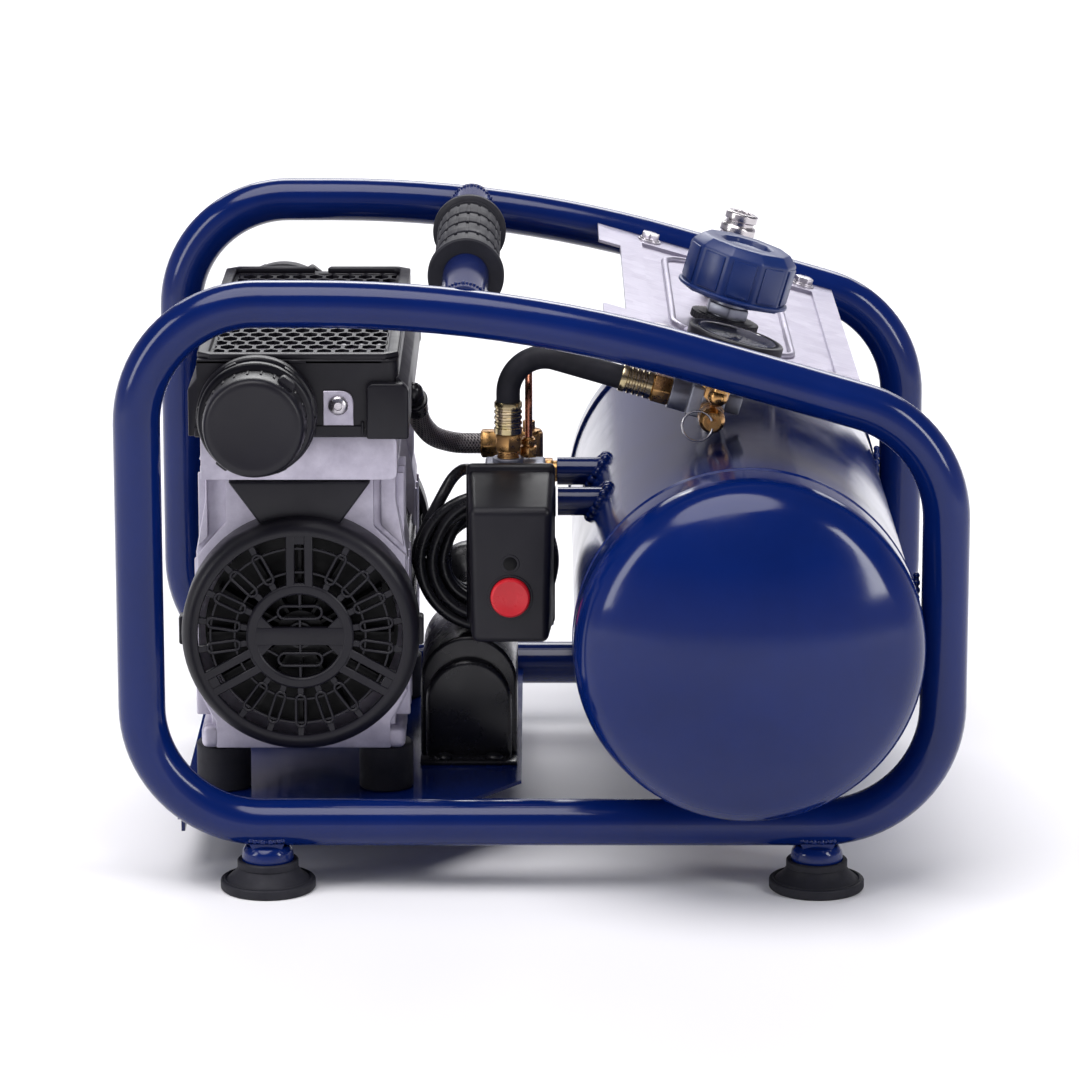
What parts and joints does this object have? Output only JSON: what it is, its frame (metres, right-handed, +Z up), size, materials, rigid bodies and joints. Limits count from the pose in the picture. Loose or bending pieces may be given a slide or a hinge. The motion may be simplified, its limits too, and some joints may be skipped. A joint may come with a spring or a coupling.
{
  "type": "air compressor",
  "caption": "Portable oil-free air compressor: pump and horizontal tank in a tubular roll frame with a carrying handle, pressure switch, regulator and quick coupler.",
  "frame": {"origin": "centre of the base on the floor, under the middle of the tubular frame", "axes": "+X from the pump towards the tank, +Y from the pressure switch side towards the back, +Z up"},
  "size_m": [0.451, 0.5038, 0.3384],
  "materials": {
    "blue_paint": "gloss powder coat",
    "black_rubber": "matt moulded rubber",
    "galvanised_sheet": "satin zinc coated sheet",
    "zinc_plate": "bright zinc plate",
    "cast_aluminium": "sand-blasted die casting",
    "diecast_zinc": "die-cast, dull",
    "black_plastic": "fine textured moulding",
    "blue_plastic": "satin moulding",
    "red_plastic": "semi-gloss",
    "chrome_plate": "bright plated",
    "brass": "machined",
    "passivated_steel": "yellow passivated, crimped",
    "bright_wire": "drawn wire",
    "copper": "drawn tube",
    "machine_steel": "machined",
    "black_steel": "satin black",
    "braided_steel": "woven wire",
    "dial_white": "printed dial",
    "clear_glass": "clear",
    "needle_black": "painted",
    "tinned_can": "drawn can",
    "red_handle": "moulded",
    "lead_black": "smooth flexible sheath"
  },
  "bodies": {
    "frame": {"air_filter_bodies": "black_plastic", "air_filter_caps": "black_plastic", "base_plate": "blue_paint", "bearings": "machine_steel", "capacitor_cover": "black_plastic", "check_valve": "brass", "control_panel": "galvanised_sheet", "cord_coil": "lead_black", "cord_gland": "black_plastic", "coupler_body": "chrome_plate", "crankcases": "cast_aluminium", "cylinder_heads": "cast_aluminium", "cylinder_liners": "machine_steel", "delivery_hose": "braided_steel", "drain_cock_body": "brass", "fan_covers": "black_plastic", "foot_bolts": "zinc_plate", "foot_cups": "blue_paint", "front_loop": "blue_paint", "gauge_case": "black_plastic", "gauge_dial": "dial_white", "gauge_elbow": "brass", "gauge_lens": "clear_glass", "handle_grip": "black_rubber", "handle_tube": "blue_paint", "head_shroud": "black_plastic", "hose_ferrules": "passivated_steel", "hose_nuts": "brass", "mains_cord": "lead_black", "mains_plug": "lead_black", "motor_housing": "black_steel", "motor_mounts": "black_rubber", "mount_bolts": "zinc_plate", "panel_bolts": "zinc_plate", "panel_tabs": "blue_paint", "pistons": "cast_aluminium", "rear_loop": "blue_paint", "regulator_body": "diecast_zinc", "regulator_ring_nut": "black_plastic", "rubber_feet": "black_rubber", "run_capacitor": "tinned_can", "safety_valve_body": "brass", "stator": "machine_steel", "supply_hose": "black_rubber", "switch_base": "diecast_zinc", "switch_cover": "black_plastic", "tank_bungs": "blue_paint", "tank_heads": "blue_paint", "tank_shell": "blue_paint", "unloader_tube": "copper", "unloader_valve": "brass"},
    "rotor_assembly": {"rotor": "machine_steel", "fans": "black_plastic"},
    "regulator_knob": {"regulator_knob": "blue_plastic"},
    "gauge_needle": {"gauge_needle": "needle_black"},
    "coupler_sleeve": {"coupler_sleeve": "chrome_plate"},
    "safety_stem": {"safety_valve_stem": "brass"},
    "safety_ring": {"safety_valve_ring": "bright_wire"},
    "switch_button": {"switch_button": "red_plastic"},
    "drain_knob": {"drain_cock_knob": "red_handle"}
  },
  "joints": [
    {"name": "rotor_spin", "type": "hinge", "parent": "frame", "child": "rotor_assembly", "pos_m": [-0.13, 0, 0.131], "axis": [0, 1, 0], "continuous": true},
    {"name": "regulator_turn", "type": "hinge", "parent": "frame", "child": "regulator_knob", "pos_m": [0.10687, -0.059, 0.31581], "axis": [0.279, 0, 0.9603], "range_deg": [-360, 1080]},
    {"name": "needle_swing", "type": "hinge", "parent": "frame", "child": "gauge_needle", "pos_m": [0.10222, -0.122, 0.28904], "axis": [-0.279, 0, -0.9603], "range_deg": [0, 270], "stiffness_Nm_per_rad": 0.0005},
    {"name": "sleeve_pull", "type": "slide", "parent": "frame", "child": "coupler_sleeve", "axis": [-0.279, 0, -0.9603], "range_m": [0, 0.005], "stiffness_N_per_m": 800, "springref_m": -0.002},
    {"name": "safety_lift", "type": "slide", "parent": "frame", "child": "safety_stem", "axis": [0, -1, 0], "range_m": [0, 0.003], "stiffness_N_per_m": 1500, "springref_m": -0.002},
    {"name": "ring_swing", "type": "hinge", "parent": "safety_stem", "child": "safety_ring", "pos_m": [0.09103, -0.1175, 0.24335], "axis": [-0.1219, 0, 0.9925], "range_deg": [-15, 75]},
    {"name": "button_press", "type": "slide", "parent": "frame", "child": "switch_button", "axis": [0, 1, 0], "range_m": [0, 0.003]},
    {"name": "drain_turn", "type": "hinge", "parent": "frame", "child": "drain_knob", "pos_m": [0.1082, -0.1, 0.0339], "axis": [0, 1, 0], "range_deg": [0, 90]}
  ]
}
